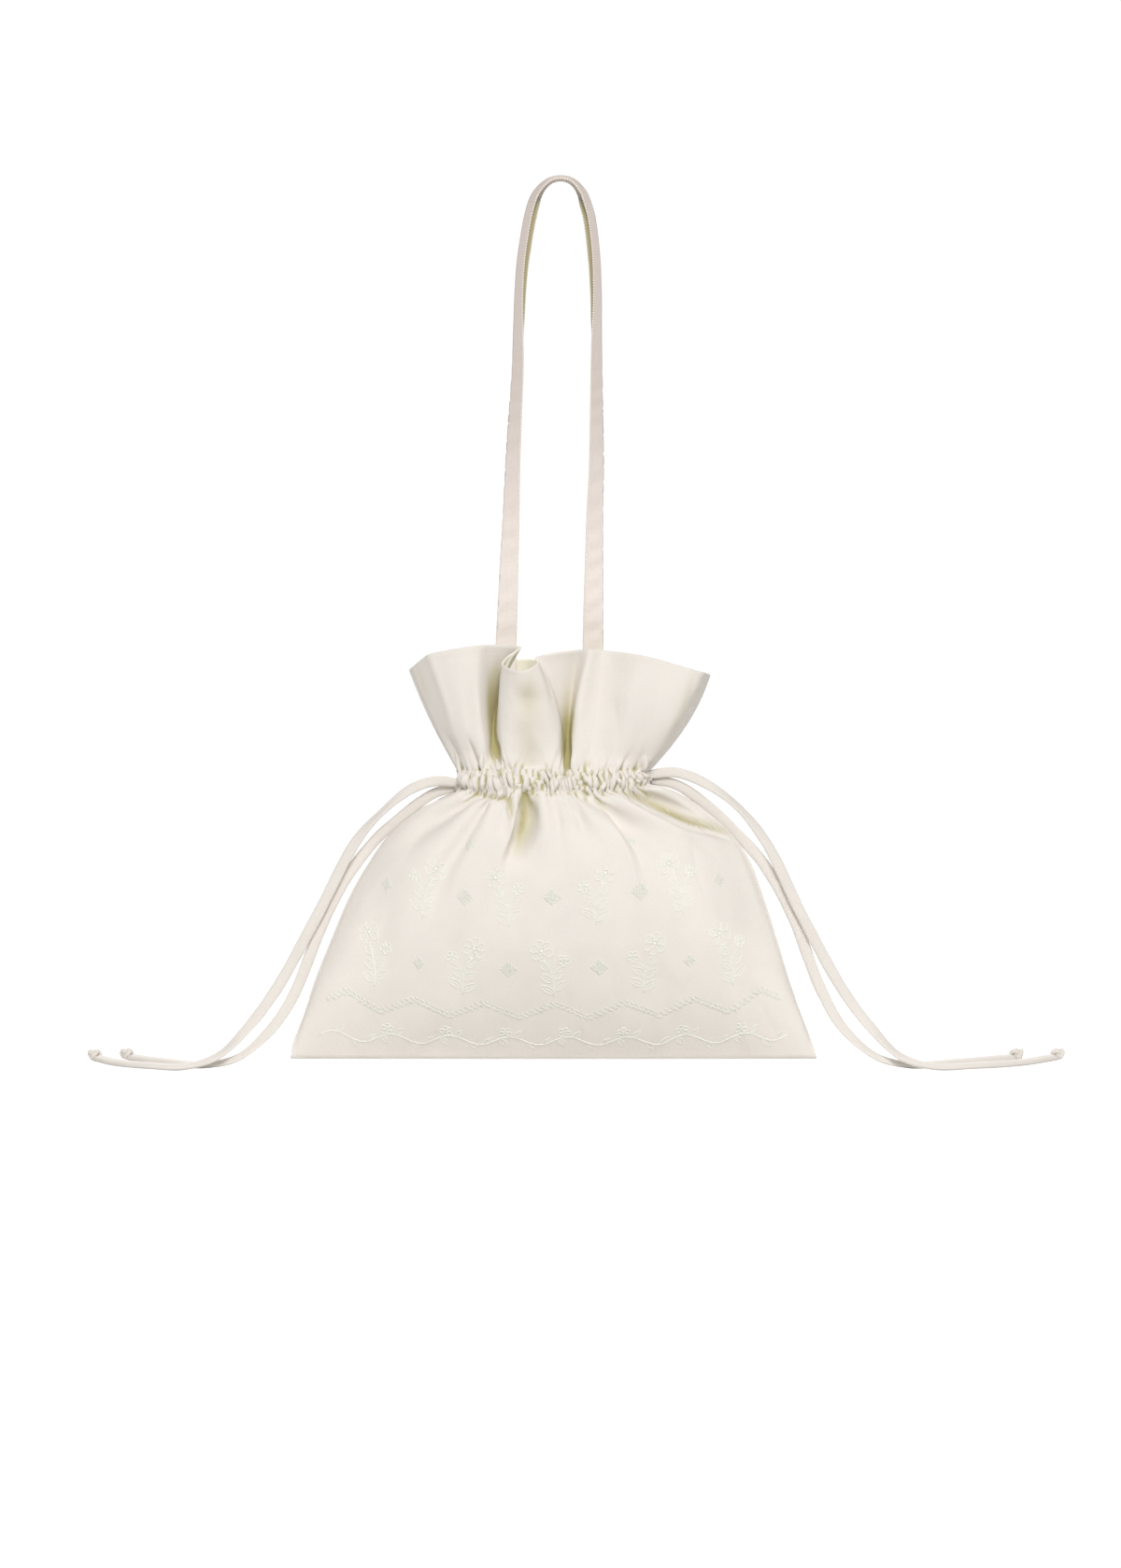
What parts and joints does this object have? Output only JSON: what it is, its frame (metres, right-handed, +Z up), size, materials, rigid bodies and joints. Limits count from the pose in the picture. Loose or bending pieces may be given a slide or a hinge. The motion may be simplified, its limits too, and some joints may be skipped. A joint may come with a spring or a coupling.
{
  "type": "drawstring bag",
  "caption": "Soft cotton drawstring shoulder bag, gathered at the neck under a standing frill, with knotted drawstring tails and one long strap that it hangs by.",
  "frame": {"origin": "underside of the strap at its highest point, where it lies over the hook that the bag hangs on", "axes": "+Z up along the hanging bag, -Y out of the front panel, +X to the right seen from the front"},
  "size_m": [0.8576, 0.1225, 0.7653],
  "materials": {
    "cloth": "matte plain-weave cotton, ivory",
    "casing": "matte plain-weave cotton, ivory",
    "strap": "folded cotton band, stitched along both edges",
    "cord": "pressed cotton cord, pale ivory"
  },
  "bodies": {
    "root": {"front_panel": "cloth", "back_panel": "cloth", "front_casing": "casing", "back_casing": "casing", "strap": "strap", "drawstring_left_channel": "cord", "drawstring_right_channel": "cord", "drawstring_left_tail_front": "cord", "drawstring_left_tail_back": "cord", "drawstring_right_tail_front": "cord", "drawstring_right_tail_back": "cord", "drawstring_left_knot_front": "cord", "drawstring_left_knot_back": "cord", "drawstring_right_knot_front": "cord", "drawstring_right_knot_back": "cord"}
  },
  "joints": []
}
